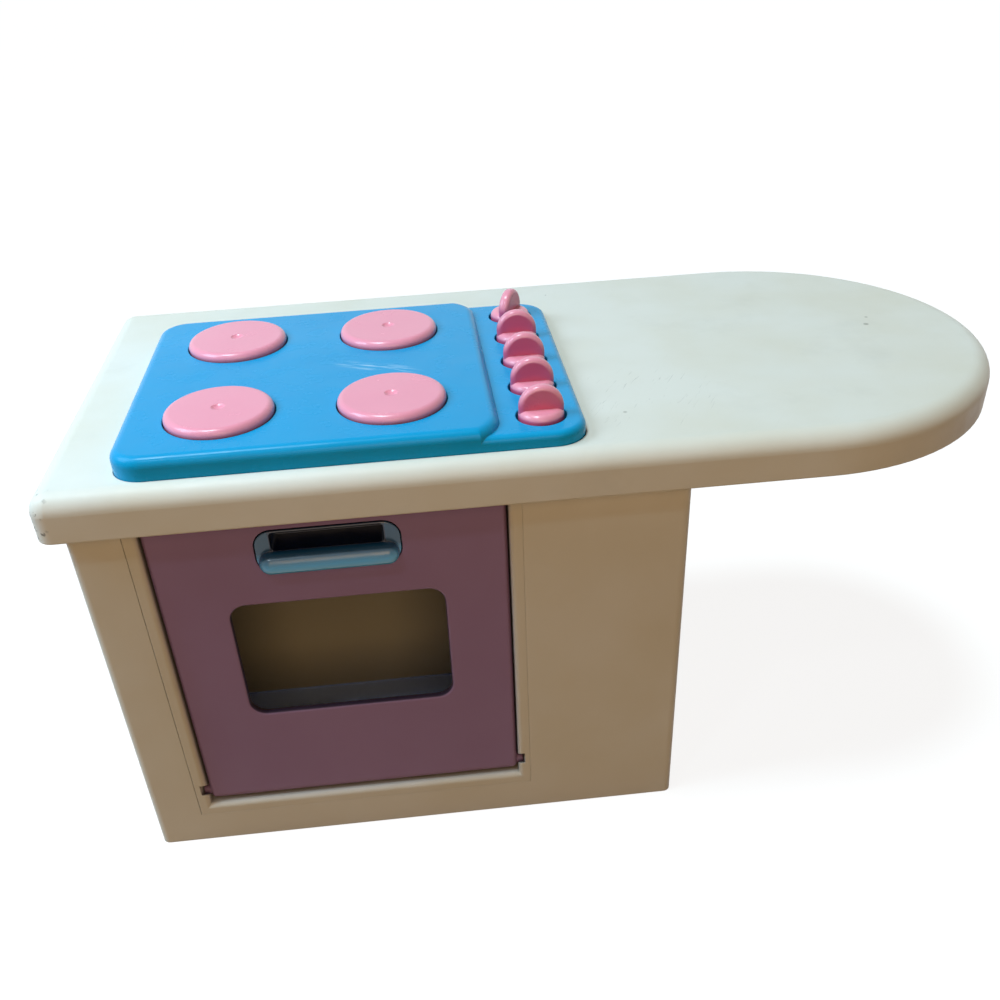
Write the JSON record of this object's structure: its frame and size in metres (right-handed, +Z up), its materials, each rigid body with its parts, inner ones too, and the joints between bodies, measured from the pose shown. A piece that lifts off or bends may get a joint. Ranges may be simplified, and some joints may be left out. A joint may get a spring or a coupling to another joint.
{
  "type": "toy stove",
  "caption": "Doll-scale toy stove: ivory cabinet and round-ended counter, blue cooktop with pink burners and turning knobs, and a lilac oven door that drops open",
  "frame": {"origin": "middle of the cabinet's base, on the surface that it stands on", "axes": "+X to the right along the counter towards its round end, -Y out of the oven door, +Z up"},
  "size_m": [0.3448, 0.168, 0.1806],
  "materials": {
    "ivory_plastic": "injection-moulded, semi-gloss, lightly scuffed",
    "blue_plastic": "injection-moulded, glossy, scuffed along the top edges",
    "pink_plastic": "injection-moulded, semi-gloss",
    "lilac_plastic": "injection-moulded, semi-gloss",
    "zinc_steel": "zinc-plated"
  },
  "bodies": {
    "stove": {"cabinet_shell": "ivory_plastic", "base_panel": "ivory_plastic", "oven_liner": "ivory_plastic", "countertop": "ivory_plastic", "countertop_underside": "ivory_plastic", "cooktop_panel": "blue_plastic", "burner_front_left": "pink_plastic", "burner_front_right": "pink_plastic", "burner_rear_left": "pink_plastic", "burner_rear_right": "pink_plastic", "base_screws": "zinc_steel", "counter_screws": "zinc_steel", "underside_screws": "zinc_steel"},
    "door": {"oven_door": "lilac_plastic", "door_handle": "blue_plastic"},
    "knob_1_body": {"knob_1": "pink_plastic"},
    "knob_2_body": {"knob_2": "pink_plastic"},
    "knob_3_body": {"knob_3": "pink_plastic"},
    "knob_4_body": {"knob_4": "pink_plastic"},
    "knob_5_body": {"knob_5": "pink_plastic"}
  },
  "joints": [
    {"name": "door_hinge", "type": "hinge", "parent": "stove", "child": "door", "pos_m": [-0.02008, -0.0706, 0.0225], "axis": [1, 0, 0], "range_deg": [0, 90]},
    {"name": "knob_1_turn", "type": "hinge", "parent": "stove", "child": "knob_1_body", "pos_m": [0.0552, -0.06275, 0.1669], "axis": [0, 0, 1], "continuous": true},
    {"name": "knob_2_turn", "type": "hinge", "parent": "stove", "child": "knob_2_body", "pos_m": [0.0552, -0.03935, 0.1669], "axis": [0, 0, 1], "continuous": true},
    {"name": "knob_3_turn", "type": "hinge", "parent": "stove", "child": "knob_3_body", "pos_m": [0.0552, -0.01595, 0.1669], "axis": [0, 0, 1], "continuous": true},
    {"name": "knob_4_turn", "type": "hinge", "parent": "stove", "child": "knob_4_body", "pos_m": [0.0552, 0.00745, 0.1669], "axis": [0, 0, 1], "continuous": true},
    {"name": "knob_5_turn", "type": "hinge", "parent": "stove", "child": "knob_5_body", "pos_m": [0.0552, 0.03085, 0.1669], "axis": [0, 0, 1], "continuous": true}
  ]
}
